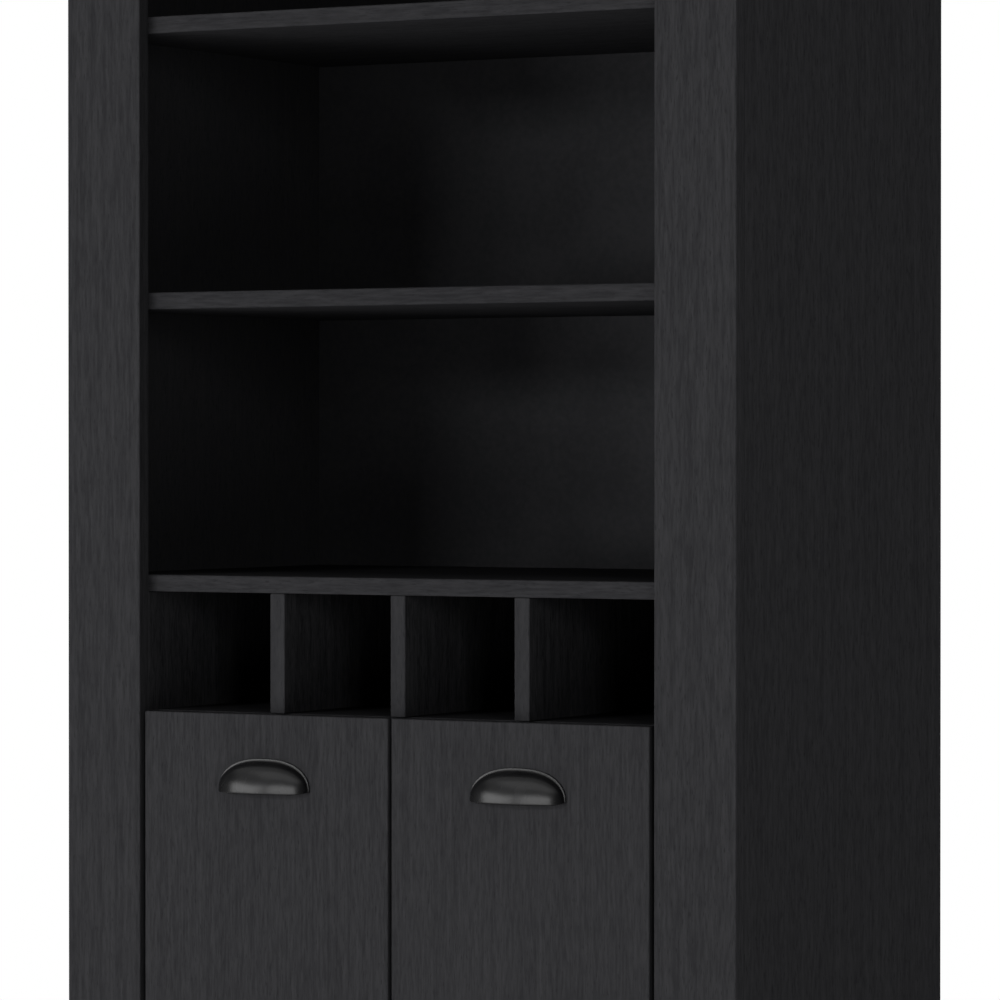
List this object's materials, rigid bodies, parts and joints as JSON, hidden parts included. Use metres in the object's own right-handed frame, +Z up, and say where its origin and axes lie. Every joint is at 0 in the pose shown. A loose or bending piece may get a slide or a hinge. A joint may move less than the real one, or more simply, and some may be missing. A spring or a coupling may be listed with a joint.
{
  "type": "bar cabinet",
  "caption": "Tall black wood-grain bar cabinet: open shelves over a bar top, a row of bottle cubbies, and a cupboard behind two inset doors with cup pulls.",
  "frame": {"origin": "on the floor, under the middle of the whole cabinet with its pulls", "axes": "+Z up, the front with the doors faces -Y, +X to the right of someone who looks at the front"},
  "size_m": [0.68, 0.446, 1.8293],
  "materials": {
    "upright_board": "black embossed wood-grain foil, grain upright, matt",
    "level_board": "black embossed wood-grain foil, grain across, matt",
    "back_board": "smooth black-faced hardboard",
    "pull_metal": "satin black die-cast",
    "hinge_steel": "nickel-plated pressed steel",
    "glide_plastic": "moulded black plastic",
    "bumper_rubber": "clear soft bumper"
  },
  "bodies": {
    "carcass": {"side_panel_left": "upright_board", "side_panel_right": "upright_board", "stile_left": "upright_board", "stile_right": "upright_board", "inner_side_left": "upright_board", "inner_side_right": "upright_board", "cubby_divider_left": "level_board", "cubby_divider_centre": "level_board", "cubby_divider_right": "level_board", "top_rail": "level_board", "kick_rail": "level_board", "plinth_rear_rail": "level_board", "top_panel": "level_board", "bottom_panel": "level_board", "bar_top": "level_board", "shelf_middle": "level_board", "shelf_upper": "level_board", "shelf_top": "level_board", "cubby_floor": "level_board", "cupboard_shelf": "level_board", "back_panel_lower": "back_board", "back_panel_upper": "back_board", "hinge_arm_left_lower": "hinge_steel", "hinge_arm_left_upper": "hinge_steel", "hinge_arm_right_lower": "hinge_steel", "hinge_arm_right_upper": "hinge_steel", "hinge_plate_left_lower": "hinge_steel", "hinge_plate_left_upper": "hinge_steel", "hinge_plate_right_lower": "hinge_steel", "hinge_plate_right_upper": "hinge_steel", "shelf_pin_left_front": "hinge_steel", "shelf_pin_left_rear": "hinge_steel", "shelf_pin_right_front": "hinge_steel", "shelf_pin_right_rear": "hinge_steel", "glide_left_front": "glide_plastic", "glide_left_rear": "glide_plastic", "glide_right_front": "glide_plastic", "glide_right_rear": "glide_plastic", "door_bumper_left": "bumper_rubber", "door_bumper_right": "bumper_rubber"},
    "left_door": {"door_left": "upright_board", "cup_pull_left": "pull_metal", "pull_screw_left_1": "hinge_steel", "pull_screw_left_2": "hinge_steel", "hinge_cup_left_lower": "hinge_steel", "hinge_cup_left_upper": "hinge_steel", "hinge_pin_left_lower": "hinge_steel", "hinge_pin_left_upper": "hinge_steel"},
    "right_door": {"door_right": "upright_board", "cup_pull_right": "pull_metal", "pull_screw_right_1": "hinge_steel", "pull_screw_right_2": "hinge_steel", "hinge_cup_right_lower": "hinge_steel", "hinge_cup_right_upper": "hinge_steel", "hinge_pin_right_lower": "hinge_steel", "hinge_pin_right_upper": "hinge_steel"}
  },
  "joints": [
    {"name": "left_door_hinge", "type": "hinge", "parent": "carcass", "child": "left_door", "pos_m": [-0.2465, -0.193, 0.3893], "axis": [0, 0, -1], "range_deg": [0, 100]},
    {"name": "right_door_hinge", "type": "hinge", "parent": "carcass", "child": "right_door", "pos_m": [0.2465, -0.193, 0.3893], "axis": [0, 0, 1], "range_deg": [0, 100]}
  ]
}
